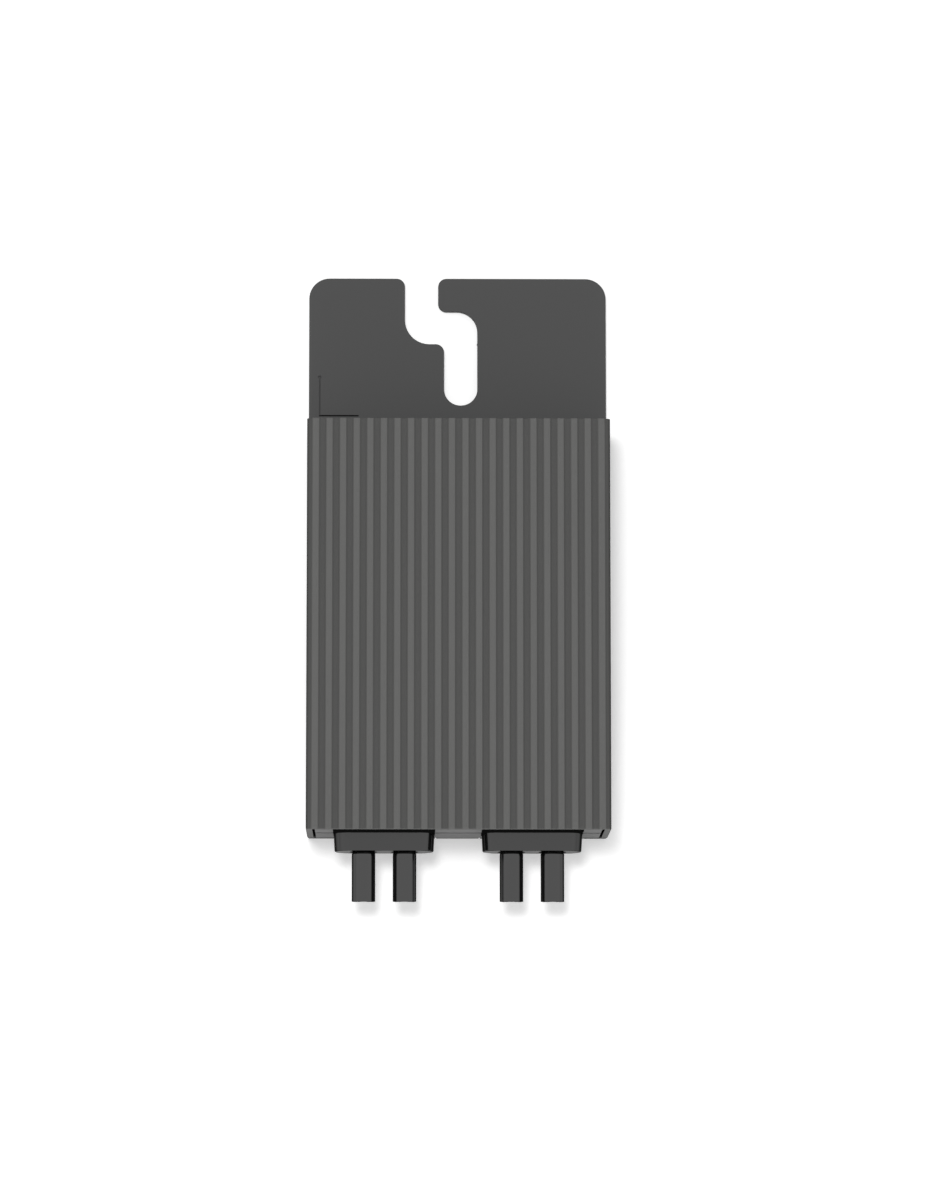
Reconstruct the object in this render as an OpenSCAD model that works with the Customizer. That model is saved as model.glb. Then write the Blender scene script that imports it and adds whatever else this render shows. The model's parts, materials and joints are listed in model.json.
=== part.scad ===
// Power optimizer for one solar module: a ribbed die-cast cover on a flat mounting bracket with a
// hanging slot, closed at the lower end by a two-piece cap that carries two pairs of leads.
// Frame: origin at the middle of the body's footprint on the mounting face, +X across the body,
// +Y towards the hanging slot, +Z out through the ribs. Sizes are in millimetres.

/* [Body] */
// width of the body and of the mounting bracket
body_w = 75; // [73:0.5:90]
// length of the ribbed body
body_l = 102; // [98:1:130]
// depth from the mounting face to the rib tops
body_d = 28; // [27:0.5:36]

/* [Cover] */
// thickness of the side walls
wall_t = 1.6; // [1.4:0.1:2.2]
// thickness of the front wall under the grooves
front_t = 2; // [1.6:0.1:2.6]
// thickness of the wall at the slot end
end_wall_t = 2; // [1.6:0.1:3]
// radius of the outer edges
edge_r = 0.6; // [0.3:0.1:0.9]

/* [Ribs] */
// number of ribs across the front
rib_count = 22; // [12:1:24]
// width of one rib at half its height
rib_w = 1.8; // [1:0.1:2]
// height of the ribs above the grooves
rib_h = 0.5; // [0.3:0.1:2]
// bare strip beside the outermost ribs
rib_margin = 1.3; // [1.1:0.1:2.5]
// how far each side of a rib leans in over its height
rib_lean = 0.35; // [0.1:0.05:0.45]

/* [Mounting bracket] */
// thickness of the bracket sheet
plate_t = 2; // [1.6:0.2:3]
// length of bracket that stands out above the body
hang_l = 40; // [38:1:60]
// radius of the bracket's two upper corners
corner_r = 5.2; // [2:0.2:8]
// width of the hanging slot, for an M8 bolt
slot_w = 8.4; // [6.4:0.2:9]
// drop from the bracket's top edge to the slot's cross run
jog_drop = 8.4; // [7:0.2:10]
// drop from the bracket's top edge to the centre of the slot's round end
seat_drop = 28.3; // [24:0.1:29.3]
// metal left between the mouth and the lower leg of the slot, seen from above
slot_step = 1.5; // [0.5:0.1:4]
// offset of the round end from the middle of the bracket
seat_x = 0.8; // [0:0.1:3]

/* [Leads and glands] */
// outside diameter of a lead
lead_d = 5.85; // [5:0.05:6.5]
// distance between the two leads of a pair
lead_pitch = 10.15; // [9.5:0.05:10.7]
// distance between the middles of the two pairs
pair_spacing = 36.6; // [34.6:0.2:38]
// length of lead that shows beyond its gland
lead_out = 12.5; // [8:0.5:60]
// length of gland that stands out of the lower end
gland_out = 4.5; // [3:0.1:8]
// thickness of a gland
gland_h = 9.6; // [9:0.2:11]

/* [Hidden] */
$fn = 48;
// a gap between pieces that face each other on a curve
curve_gap = 0.3;
// overlap of pieces that are one casting
join = 0.4;
// how far a cutter runs past the face it opens
past = 1;

half_w = body_w / 2;
half_l = body_l / 2;
low_y = -half_l;
seal_t = 0.8;
seal_inset = 0.5;
foot_w = 2;
foot_h = 2.5;
foot_gap = 0.3;
rim_z = plate_t + seal_t;
groove_z = body_d - rib_h;
ceiling_z = groove_z - front_t;
inner_x = half_w - wall_t;
inner_top_y = half_l - end_wall_t;
rib_pitch = (body_w - 2 * rib_margin - rib_w) / (rib_count - 1);

// end cap, in front and rear halves
cap_t = 4;
cap_gap = 0.6;
cap_x = inner_x - cap_gap;
cap_in_y = low_y + cap_t;
tongue_gap = 0.3;
tongue_set = 1.9;
tongue_y = low_y + tongue_set;
tongue_t = 1.2;
tongue_in = 0.5;
slit_in = 1;
slit_skin = 0.3;
part_line_h = 1.8;
part_line_in = 1;
tab_w = 10.6;
tab_t = 1.1;
tab_gap = 0.3;

// screws of the cover
boss_r = 3.2;
screw_r = 1.2;
screw_head_r = 2.7;
screw_head_h = 1;
screw_l = 12;
screw_tip_gap = 1;
screw_drive_r = 1.15;
screw_drive_in = 0.6;
boss_sink = 0.6;
boss_x = inner_x - boss_r + boss_sink;
flange_t = 2;
flange_lip = 0.8;
boss_gap = 0.4;
boss_low_y = cap_in_y + flange_t + boss_gap + boss_r;
boss_top_y = inner_top_y - boss_r + boss_sink;
boss_places = [[-boss_x, boss_low_y], [boss_x, boss_low_y], [-boss_x, boss_top_y], [boss_x, boss_top_y]];

// circuit board, fixed to posts that stand on the front wall
board_t = 1.6;
board_lift = 6;
board_z = plate_t + board_lift;
board_top = board_z + board_t;
board_side_gap = 0.5;
board_end_gap = 1;
board_x = boss_x - boss_r - board_side_gap;
board_y0 = cap_in_y + flange_t + board_end_gap;
board_y1 = inner_top_y - foot_w - board_side_gap;
post_r = 2.6;
post_edge = 3.4;
post_low_set = 19;
post_top_set = 4.3;
post_x = board_x - post_edge;
post_low_y = board_y0 + post_low_set;
post_top_y = board_y1 - post_top_set;
post_places = [[-post_x, post_low_y], [post_x, post_low_y], [-post_x, post_top_y], [post_x, post_top_y]];
board_screw_r = 1;
board_screw_head_r = 2.2;
board_screw_head_h = 1.5;
board_screw_l = 8;
board_drive_r = 0.9;
board_drive_in = 0.8;

// leads and glands
lead_r = lead_d / 2;
lead_lift = 1;
lead_z = board_top + lead_r + lead_lift;
core_r = 1.3;
gland_side = 4.5;
gland_w = lead_pitch + lead_d + 2 * gland_side;
gland_draft = 0.3;
gland_side_flat = 0.2;
gland_edge_r = (gland_h - gland_side_flat) / 2;
gland_shoulder = 1.5;
gland_neck_w = gland_w - 2 * gland_shoulder;
gland_end_y = low_y - gland_out;
lead_end_y = gland_end_y - lead_out;
lead_reach = 6;
lead_in_y = board_y0 + lead_reach;
part_up = 3;
part_z = lead_z + part_up;
gasket_t = 1.2;
gasket_side = 0.05;
gasket_low = 1;
gasket_skin = 0.5;
gasket_w = gland_w + 2 * gasket_side;
gasket_z0 = lead_z - gland_h / 2 - gasket_low;
gasket_z1 = groove_z - gasket_skin;
input_x = -pair_spacing / 2;
output_x = pair_spacing / 2;

// terminals for the leads
terminal_w = 6.6;
terminal_h = 7.2;
terminal_l = 7;
terminal_stop = 0.8;
terminal_y0 = lead_in_y;

// inductor with flat plates, outer legs and a round middle leg, and film capacitors beside it
part_gap = 2;
inductor_w = 24;
inductor_l = 20;
inductor_headroom = 1.4;
inductor_h = ceiling_z - board_top - inductor_headroom;
inductor_plate = 3;
inductor_leg = 4;
winding_gap = 0.4;
winding_r = inductor_w / 2 - inductor_leg - winding_gap;
winding_h = inductor_h - 2 * inductor_plate - curve_gap;
capacitor_l = 8;
capacitor_headroom = 2.9;
capacitor_h = ceiling_z - board_top - capacitor_headroom;
board_rim = 0.6;
capacitor_x0 = inductor_w / 2 + part_gap;
capacitor_x1 = board_x - board_rim;
capacitor_low_y = post_low_y + post_r + part_gap + capacitor_l / 2;
capacitor_top_y = capacitor_low_y + capacitor_l + part_gap;
inductor_set = 43;
inductor_y = board_y0 + inductor_set;

// power transistors in a row under the pedestal, which a thermal pad joins
transistor_count = 4;
transistor_w = 10;
transistor_l = 9;
transistor_h = 2.3;
transistor_pitch = 13.5;
transistor_set = 20.5;
transistor_y = board_y1 - transistor_set;
leg_w = 1;
leg_t = 0.5;
leg_l = 3;
leg_pitch = 2.5;
pad_t = 0.5;
pad_over = 1;
pad_side = 1.25;
pad_z = board_top + transistor_h;
pad_w = (transistor_count - 1) * transistor_pitch + transistor_w + 2 * pad_side;
pad_l = transistor_l + 2 * pad_over;

// small parts
diode_w = 10;
diode_l = 8;
diode_h = 2.5;
shunt_w = 9;
shunt_l = 4;
shunt_h = 0.8;
logic_set = 6.5;
logic_y = board_y1 - logic_set;
driver_w = 6;
driver_l = 5;
driver_h = 1.6;
driver_up = 1;
controller_w = 9;
controller_h = 1.2;
controller_x = 14.5;
transformer_w = 12;
transformer_l = 9;
transformer_h = 9;
transformer_x = 14;

// hanging slot
plate_top_y = half_l + hang_l;
slot_r = slot_w / 2;
mouth_x = seat_x - slot_w - slot_step;
seat_y = plate_top_y - seat_drop;
jog_top_y = plate_top_y - jog_drop;
jog_low_y = jog_top_y - slot_w;
slot_round_r = 2.1;
jog_outer_r = 5.2;
jog_low_r = 6.2;

// stamped line beside the hanging slot
mark_w = 0.4;
mark_l = 10;
mark_deep = 0.5;
mark_in = 2.55;
mark_up = 4.6;
mark_dot_r = 0.45;

CAST_GREY = [0.36, 0.37, 0.39];
SHEET_GREY = [0.29, 0.30, 0.32];
CAP_GREY = [0.40, 0.41, 0.43];
MOULDED_GREY = [0.26, 0.26, 0.28];
JACKET_GREY = [0.28, 0.28, 0.29];
RUBBER_BLACK = [0.05, 0.05, 0.05];
STEEL = [0.70, 0.70, 0.72];
COPPER = [0.80, 0.52, 0.34];
TIN = [0.78, 0.78, 0.76];
BOARD_GREEN = [0.08, 0.30, 0.16];
FERRITE = [0.16, 0.16, 0.17];
CHIP_BLACK = [0.08, 0.08, 0.09];
FILM_RED = [0.55, 0.10, 0.08];
PAD_GREY = [0.55, 0.60, 0.66];

// a block given by its two ends along each axis
module slab(x, y, z) {
    translate([x[0], y[0], z[0]])
        cube([x[1] - x[0], y[1] - y[0], z[1] - z[0]]);
}

// a flat profile drawn in X and Z, run along Y from y0 to y1
module along_y(y0, y1) {
    translate([0, y1, 0])
        rotate([90, 0, 0])
            linear_extrude(y1 - y0)
                children();
}

// a rod along Y
module rod_y(x, z, r, y0, y1) {
    translate([x, y1, z])
        rotate([90, 0, 0])
            cylinder(r = r, h = y1 - y0);
}

// a rectangle with rounded corners, centred
module soft_rect(w, h, r) {
    square([w - 2 * r, h], center = true);
    square([w, h - 2 * r], center = true);
    for (sx = [-1, 1], sy = [-1, 1])
        translate([sx * (w / 2 - r), sy * (h / 2 - r)])
            circle(r = r);
}

// what lies between a square corner and the round of radius r inside it
module corner_chip(x, y, sx, sy, r) {
    translate([x, y])
        scale([sx, sy])
            difference() {
                square([r, r]);
                translate([r, r])
                    circle(r = r);
            }
}

// outline of the hanging slot: mouth, cross run and lower leg with a round end
module hanging_slot() {
    difference() {
        union() {
            translate([mouth_x - slot_r, jog_low_y])
                square([slot_w, plate_top_y + past - jog_low_y]);
            translate([mouth_x, jog_low_y])
                square([seat_x + slot_r - mouth_x, slot_w]);
            translate([seat_x - slot_r, seat_y])
                square([slot_w, jog_top_y - seat_y]);
            translate([seat_x, seat_y])
                circle(r = slot_r);
        }
        corner_chip(mouth_x - slot_r, jog_low_y, 1, 1, jog_low_r);
        corner_chip(seat_x + slot_r, jog_top_y, -1, -1, jog_outer_r);
    }
    corner_chip(mouth_x + slot_r, jog_top_y, 1, 1, slot_round_r);
    corner_chip(seat_x - slot_r, jog_low_y, -1, -1, slot_round_r);
    corner_chip(mouth_x - slot_r, plate_top_y, -1, -1, slot_round_r);
    corner_chip(mouth_x + slot_r, plate_top_y, 1, -1, slot_round_r);
}

// flat bracket: full-length back plate with the hanging slot and a stamped line above the body
module mounting_bracket() {
    color(SHEET_GREY)
        difference() {
            linear_extrude(plate_t)
                difference() {
                    translate([-half_w, low_y])
                        square([body_w, body_l + hang_l]);
                    corner_chip(-half_w, plate_top_y, 1, -1, corner_r);
                    corner_chip(half_w, plate_top_y, -1, -1, corner_r);
                    corner_chip(-half_w, low_y, 1, 1, edge_r);
                    corner_chip(half_w, low_y, -1, 1, edge_r);
                    hanging_slot();
                }
            // notch for the locating tab of the end cap
            slab([-tab_w / 2 - tab_gap, tab_w / 2 + tab_gap], [low_y - past, low_y + tab_t + tab_gap],
                 [-past, plate_t + past]);
            stamped_line();
            for (p = boss_places)
                translate([p[0], p[1], 0]) {
                    translate([0, 0, -past])
                        cylinder(r = screw_r + curve_gap, h = plate_t + 2 * past);
                    translate([0, 0, -past])
                        cylinder(r = screw_head_r + curve_gap, h = screw_head_h + past);
                }
        }
}

// an L of stamped line with a dot at its upper end
module stamped_line() {
    x = -half_w + mark_in;
    y = half_l + mark_up;
    z = [plate_t - mark_deep, plate_t + past];
    slab([x, x + mark_w], [y, y + mark_l], z);
    slab([x, x + mark_l], [y, y + mark_w], z);
    translate([x + mark_w / 2, y + mark_l, z[0]])
        cylinder(r = mark_dot_r, h = z[1] - z[0]);
}

// flat rubber ring between the bracket and the rim of the cover and end cap
module back_seal() {
    color(RUBBER_BLACK)
        translate([0, 0, plate_t])
            linear_extrude(seal_t)
                difference() {
                    union() {
                        difference() {
                            translate([-half_w + seal_inset, low_y + seal_inset])
                                square([body_w - 2 * seal_inset, body_l - 2 * seal_inset]);
                            translate([-inner_x + foot_w, cap_in_y - seal_inset])
                                square([2 * (inner_x - foot_w),
                                        inner_top_y - foot_w - cap_in_y + seal_inset]);
                        }
                        for (p = boss_places)
                            translate(p)
                                circle(r = boss_r);
                    }
                    for (p = boss_places)
                        translate(p)
                            circle(r = screw_r + curve_gap);
                    translate([-tab_w / 2 - tab_gap, low_y - past])
                        square([tab_w + 2 * tab_gap, tab_t + tab_gap + past]);
                }
}

// section of the cover's outer skin below the ribs
module cover_section() {
    difference() {
        translate([-half_w, rim_z])
            square([body_w, groove_z - rim_z]);
        corner_chip(-half_w, groove_z, 1, -1, edge_r);
        corner_chip(half_w, groove_z, -1, -1, edge_r);
    }
}

// section of one rib, sunk a little into the front wall
module rib_section() {
    root = (rib_w + rib_lean) / 2;
    crest = (rib_w - rib_lean) / 2;
    polygon([[-root, -join], [root, -join], [root, 0], [crest, rib_h], [-crest, rib_h], [-root, 0]]);
}

// outer form of the cover without its ribs, with rounded upright corners
module cover_block() {
    intersection() {
        along_y(low_y, half_l)
            cover_section();
        translate([0, 0, rim_z - past])
            linear_extrude(body_d)
                soft_rect(body_w, body_l, edge_r);
    }
}

module ribs() {
    for (i = [0 : rib_count - 1])
        translate([-half_w + rib_margin + rib_w / 2 + i * rib_pitch, 0, groove_z])
            along_y(low_y, half_l)
                rib_section();
}

// the walls' feet, the screw bosses, the board posts and the pedestal over the transistors
module cover_inside() {
    for (s = [-1, 1])
        scale([s, 1, 1])
            slab([inner_x - foot_w, inner_x + join], [cap_in_y + foot_gap, inner_top_y + join],
                 [rim_z, rim_z + foot_h]);
    slab([-inner_x, inner_x], [inner_top_y - foot_w, inner_top_y + join], [rim_z, rim_z + foot_h]);
    for (p = boss_places)
        translate([p[0], p[1], rim_z])
            cylinder(r = boss_r, h = ceiling_z + join - rim_z);
    for (p = post_places)
        translate([p[0], p[1], board_top])
            cylinder(r = post_r, h = ceiling_z + join - board_top);
    slab([-pad_w / 2, pad_w / 2], [transistor_y - pad_l / 2, transistor_y + pad_l / 2],
         [pad_z + pad_t, ceiling_z + join]);
}

// die-cast cover: trough open at the back and at the lower end, ribs along its front
module ribbed_cover() {
    color(CAST_GREY)
        difference() {
            union() {
                difference() {
                    cover_block();
                    slab([-inner_x, inner_x], [low_y - past, inner_top_y], [rim_z - past, ceiling_z]);
                }
                ribs();
                cover_inside();
            }
            for (p = boss_places)
                translate([p[0], p[1], rim_z - past])
                    cylinder(r = screw_r + curve_gap, h = screw_l + past);
            for (p = post_places)
                translate([p[0], p[1], board_top - past])
                    cylinder(r = board_screw_r + curve_gap, h = board_screw_l + past);
            // upright grooves that hold the tongues of the end cap, and the slits beside the cap
            for (s = [-1, 1])
                scale([s, 1, 1]) {
                    slab([inner_x - past, inner_x + tongue_in + tongue_gap],
                         [tongue_y - tongue_gap, tongue_y + tongue_t + tongue_gap],
                         [rim_z - past, ceiling_z]);
                    slab([cap_x, inner_x], [low_y - past, low_y + slit_in],
                         [ceiling_z - past, groove_z - slit_skin]);
                }
            // recesses for the tops of the gland gaskets
            for (x = [input_x, output_x])
                slab([x - gasket_w / 2, x + gasket_w / 2], [low_y - past, low_y + gasket_t],
                     [ceiling_z - past, gasket_z1]);
        }
}

// what both halves of the end cap share: plate, side tongues, and openings for the glands
module end_cap(z0, z1) {
    difference() {
        union() {
            slab([-cap_x, cap_x], [low_y, cap_in_y], [z0, z1]);
            slab([-inner_x - tongue_in, inner_x + tongue_in], [tongue_y, tongue_y + tongue_t], [z0, z1]);
        }
        for (x = [input_x, output_x]) {
            slab([x - gasket_w / 2, x + gasket_w / 2], [low_y - past, low_y + gasket_t],
                 [gasket_z0, gasket_z1]);
            slab([x - gland_neck_w / 2, x + gland_neck_w / 2], [low_y - past, cap_in_y + past],
                 [lead_z - gland_h / 2, lead_z + gland_h / 2]);
        }
        slab([-half_w, half_w], [low_y - past, low_y + part_line_in],
             [part_z - part_line_h / 2, part_z + part_line_h / 2]);
    }
}

module end_cap_front() {
    color(CAP_GREY)
        end_cap(part_z, ceiling_z);
}

// rear half, with the tab that locates the cap on the bracket
module end_cap_rear() {
    color(CAP_GREY)
        union() {
            end_cap(rim_z, part_z);
            slab([-tab_w / 2, tab_w / 2], [low_y, low_y + tab_t], [0, rim_z + join]);
        }
}

// low-head screws from the back of the bracket into the bosses of the cover
module cover_screws() {
    color(STEEL)
        for (p = boss_places)
            translate([p[0], p[1], 0])
                difference() {
                    union() {
                        cylinder(r = screw_head_r, h = screw_head_h);
                        cylinder(r = screw_r, h = rim_z + screw_l - screw_tip_gap);
                    }
                    translate([0, 0, -past])
                        cylinder(r = screw_drive_r, h = past + screw_drive_in, $fn = 6);
                }
}

// round-sided moulded block on a pair of leads, with a neck through the end cap and a flange behind it
module gland(x) {
    color(MOULDED_GREY)
        difference() {
            union() {
                intersection() {
                    translate([x, 0, lead_z])
                        along_y(gland_end_y, low_y + join)
                            soft_rect(gland_w, gland_h, gland_edge_r);
                    translate([x, 0, lead_z - gland_h])
                        linear_extrude(2 * gland_h)
                            polygon([[gland_neck_w / 2, low_y + join], [gland_neck_w / 2, low_y],
                                     [gland_w / 2, low_y], [gland_w / 2 - gland_draft, gland_end_y],
                                     [-gland_w / 2 + gland_draft, gland_end_y], [-gland_w / 2, low_y],
                                     [-gland_neck_w / 2, low_y], [-gland_neck_w / 2, low_y + join]]);
                }
                slab([x - gland_neck_w / 2, x + gland_neck_w / 2], [low_y, cap_in_y + join],
                     [lead_z - gland_h / 2, lead_z + gland_h / 2]);
                slab([x - gland_w / 2, x + gland_w / 2], [cap_in_y, cap_in_y + flange_t],
                     [lead_z - gland_h / 2 - flange_lip, lead_z + gland_h / 2 + flange_lip]);
            }
            for (s = [-1, 1])
                rod_y(x + s * lead_pitch / 2, lead_z, lead_r + curve_gap,
                      gland_end_y - past, cap_in_y + flange_t + past);
        }
}

module input_gland() {
    gland(input_x);
}

module output_gland() {
    gland(output_x);
}

// flat rubber gasket let into the end face, around the neck of a gland
module gland_seal(x) {
    color(RUBBER_BLACK)
        difference() {
            slab([x - gasket_w / 2, x + gasket_w / 2], [low_y, low_y + gasket_t], [gasket_z0, gasket_z1]);
            slab([x - gland_neck_w / 2, x + gland_neck_w / 2], [low_y - past, low_y + gasket_t + past],
                 [lead_z - gland_h / 2, lead_z + gland_h / 2]);
        }
}

module input_gland_seal() {
    gland_seal(input_x);
}

module output_gland_seal() {
    gland_seal(output_x);
}

// jacket of one lead, cut square at its free end
module lead(x) {
    color(JACKET_GREY)
        difference() {
            rod_y(x, lead_z, lead_r, lead_end_y, lead_in_y);
            rod_y(x, lead_z, core_r + curve_gap, lead_end_y - past, lead_in_y + past);
        }
}

module input_positive_lead() {
    lead(input_x - lead_pitch / 2);
}

module input_negative_lead() {
    lead(input_x + lead_pitch / 2);
}

module output_negative_lead() {
    lead(output_x - lead_pitch / 2);
}

module output_positive_lead() {
    lead(output_x + lead_pitch / 2);
}

// tinned copper core of one lead, bared inside the body where it enters its terminal
module core(x) {
    color(TIN)
        rod_y(x, lead_z, core_r, lead_end_y, terminal_y0 + terminal_l - terminal_stop);
}

module input_positive_core() {
    core(input_x - lead_pitch / 2);
}

module input_negative_core() {
    core(input_x + lead_pitch / 2);
}

module output_negative_core() {
    core(output_x - lead_pitch / 2);
}

module output_positive_core() {
    core(output_x + lead_pitch / 2);
}

// tinned cage on the board that takes the core of one lead
module terminal(x) {
    color(TIN)
        difference() {
            slab([x - terminal_w / 2, x + terminal_w / 2], [terminal_y0, terminal_y0 + terminal_l],
                 [board_top, board_top + terminal_h]);
            rod_y(x, lead_z, core_r + curve_gap,
                  terminal_y0 - past, terminal_y0 + terminal_l - terminal_stop);
        }
}

module input_positive_terminal() {
    terminal(input_x - lead_pitch / 2);
}

module input_negative_terminal() {
    terminal(input_x + lead_pitch / 2);
}

module output_negative_terminal() {
    terminal(output_x - lead_pitch / 2);
}

module output_positive_terminal() {
    terminal(output_x + lead_pitch / 2);
}

module circuit_board() {
    color(BOARD_GREEN)
        difference() {
            slab([-board_x, board_x], [board_y0, board_y1], [board_z, board_top]);
            for (p = post_places)
                translate([p[0], p[1], board_z - past])
                    cylinder(r = board_screw_r + curve_gap, h = board_t + 2 * past);
        }
}

// pan-head screws from behind the board into the posts
module board_screws() {
    color(STEEL)
        for (p = post_places)
            translate([p[0], p[1], 0])
                difference() {
                    union() {
                        translate([0, 0, board_z - board_screw_head_h])
                            cylinder(r = board_screw_head_r, h = board_screw_head_h);
                        translate([0, 0, board_z - board_screw_head_h])
                            cylinder(r = board_screw_r,
                                     h = board_screw_head_h + board_t + board_screw_l - screw_tip_gap);
                    }
                    translate([0, 0, board_z - board_screw_head_h - past])
                        cylinder(r = board_drive_r, h = past + board_drive_in, $fn = 6);
                }
}

// ferrite core with a round middle leg, flat on the board
module inductor_core() {
    x = [-inductor_w / 2, inductor_w / 2];
    y = [-inductor_l / 2, inductor_l / 2];
    color(FERRITE)
        translate([0, inductor_y, board_top])
            union() {
                slab(x, y, [0, inductor_plate]);
                slab(x, y, [inductor_h - inductor_plate, inductor_h]);
                for (s = [-1, 1])
                    scale([s, 1, 1])
                        slab([inductor_w / 2 - inductor_leg, inductor_w / 2], y,
                             [inductor_plate - join, inductor_h - inductor_plate + join]);
                translate([0, 0, inductor_plate - join])
                    cylinder(r = inductor_leg, h = inductor_h - 2 * inductor_plate + 2 * join);
            }
}

// copper winding around the middle leg, standing on the core's lower plate
module inductor_winding() {
    color(COPPER)
        translate([0, inductor_y, board_top + inductor_plate])
            difference() {
                cylinder(r = winding_r, h = winding_h);
                translate([0, 0, -past])
                    cylinder(r = inductor_leg + curve_gap, h = winding_h + 2 * past);
            }
}

// flat power transistor with three legs, at its place in the row
module transistor(place) {
    color(CHIP_BLACK)
        translate([(place - (transistor_count + 1) / 2) * transistor_pitch, transistor_y, board_top])
            union() {
                slab([-transistor_w / 2, transistor_w / 2], [-transistor_l / 2, transistor_l / 2],
                     [0, transistor_h]);
                for (i = [-1 : 1])
                    slab([i * leg_pitch - leg_w / 2, i * leg_pitch + leg_w / 2],
                         [-transistor_l / 2 - leg_l, -transistor_l / 2 + join], [0, leg_t]);
            }
}

module power_transistor_1() {
    transistor(1);
}

module power_transistor_2() {
    transistor(2);
}

module power_transistor_3() {
    transistor(3);
}

module power_transistor_4() {
    transistor(4);
}

// soft pad that carries heat from the transistors to the cover's pedestal
module thermal_pad() {
    color(PAD_GREY)
        slab([-pad_w / 2, pad_w / 2], [transistor_y - pad_l / 2, transistor_y + pad_l / 2],
             [pad_z, pad_z + pad_t]);
}

// film capacitor in a box, on the input side (-1) or the output side (1)
module capacitor(side, y) {
    color(FILM_RED)
        scale([side, 1, 1])
            slab([capacitor_x0, capacitor_x1], [y - capacitor_l / 2, y + capacitor_l / 2],
                 [board_top, board_top + capacitor_h]);
}

module input_capacitor_1() {
    capacitor(-1, capacitor_low_y);
}

module input_capacitor_2() {
    capacitor(-1, capacitor_top_y);
}

module output_capacitor_1() {
    capacitor(1, capacitor_low_y);
}

module output_capacitor_2() {
    capacitor(1, capacitor_top_y);
}

// a flat part on the board, given by its middle and its size
module flat_part(x, y, w, l, h) {
    slab([x - w / 2, x + w / 2], [y - l / 2, y + l / 2], [board_top, board_top + h]);
}

module bypass_diode() {
    color(CHIP_BLACK)
        flat_part(0, capacitor_low_y, diode_w, diode_l, diode_h);
}

module current_shunt() {
    color(TIN)
        flat_part(0, post_low_y, shunt_w, shunt_l, shunt_h);
}

module controller_chip() {
    color(CHIP_BLACK)
        flat_part(-controller_x, logic_y, controller_w, controller_w, controller_h);
}

module gate_driver_chip() {
    color(CHIP_BLACK)
        flat_part(0, logic_y - driver_up, driver_w, driver_l, driver_h);
}

// small transformer that couples signals onto the output leads
module signal_transformer() {
    color(FERRITE)
        flat_part(transformer_x, logic_y, transformer_w, transformer_l, transformer_h);
}

mounting_bracket();
back_seal();
ribbed_cover();
end_cap_front();
end_cap_rear();
cover_screws();
input_gland();
output_gland();
input_gland_seal();
output_gland_seal();
input_positive_lead();
input_negative_lead();
output_positive_lead();
output_negative_lead();
input_positive_core();
input_negative_core();
output_positive_core();
output_negative_core();
input_positive_terminal();
input_negative_terminal();
output_positive_terminal();
output_negative_terminal();
circuit_board();
board_screws();
inductor_core();
inductor_winding();
power_transistor_1();
power_transistor_2();
power_transistor_3();
power_transistor_4();
thermal_pad();
input_capacitor_1();
input_capacitor_2();
output_capacitor_1();
output_capacitor_2();
bypass_diode();
current_shunt();
controller_chip();
gate_driver_chip();
signal_transformer();
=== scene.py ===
# Looks of a power optimizer for one solar module: the castings, sheet, mouldings and leads that show
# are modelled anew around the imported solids, and every surface gets its finish here.
import json
import math

import bmesh
import bpy
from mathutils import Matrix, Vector


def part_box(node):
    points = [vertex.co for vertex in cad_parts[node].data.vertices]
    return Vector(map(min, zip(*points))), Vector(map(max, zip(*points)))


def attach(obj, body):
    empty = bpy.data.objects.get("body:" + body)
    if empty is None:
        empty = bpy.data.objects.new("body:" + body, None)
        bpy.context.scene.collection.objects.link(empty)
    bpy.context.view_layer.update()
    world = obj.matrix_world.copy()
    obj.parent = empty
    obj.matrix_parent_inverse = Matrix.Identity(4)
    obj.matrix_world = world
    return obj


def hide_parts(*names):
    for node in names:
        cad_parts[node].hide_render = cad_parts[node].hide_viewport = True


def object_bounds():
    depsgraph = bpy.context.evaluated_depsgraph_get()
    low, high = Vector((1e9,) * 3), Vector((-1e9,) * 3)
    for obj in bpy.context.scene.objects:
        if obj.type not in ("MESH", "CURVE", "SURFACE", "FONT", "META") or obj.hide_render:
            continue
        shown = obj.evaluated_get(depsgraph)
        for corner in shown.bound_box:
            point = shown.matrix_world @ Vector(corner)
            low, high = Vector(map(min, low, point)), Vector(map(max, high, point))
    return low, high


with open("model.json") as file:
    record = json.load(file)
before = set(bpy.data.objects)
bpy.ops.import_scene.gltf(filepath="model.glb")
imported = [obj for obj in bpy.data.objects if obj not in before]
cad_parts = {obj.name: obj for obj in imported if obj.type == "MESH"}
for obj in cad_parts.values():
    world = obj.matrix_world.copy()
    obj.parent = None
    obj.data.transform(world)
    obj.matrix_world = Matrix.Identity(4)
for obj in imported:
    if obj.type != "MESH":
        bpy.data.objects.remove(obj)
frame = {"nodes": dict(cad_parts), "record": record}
cad_low, cad_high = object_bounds()

MM = 0.001
# how far a cutter runs past the face that it opens, and how close two places count as one
PAST = 1.0 * MM
NEAR = 0.02 * MM
# up to what angle two faces count as one flat face, and how close two points become one
SEAM_ANGLE = math.radians(0.1)
WELD = 0.002 * MM
# from what angle an edge counts as sharp, and up to what angle faces shade as one round surface
SHARP_ANGLE = math.radians(60)
RIB_ANGLE = math.radians(40)
SMOOTH_ANGLE = math.radians(35)
JACKET_SMOOTH_ANGLE = math.radians(10)
# how much larger faces lead the shading, and what share of its normal makes a face look that way
SHADING_WEIGHT = 60
FACING = 0.9
# profile of a bevel that makes it round
ROUND_PROFILE = 0.5

# camera, fitted to the outline: place, tilt towards the lead end, turn across
CAMERA_PLACE = Vector((-15.53, -164.57, 1332.99)) * MM
CAMERA_TILT = math.radians(7.428)
CAMERA_TURN = math.radians(0.739)
CAMERA_LENS = 160.3
CAMERA_SENSOR = 36.0
CAMERA_NEAR = 0.05
CAMERA_FAR = 20

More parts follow.
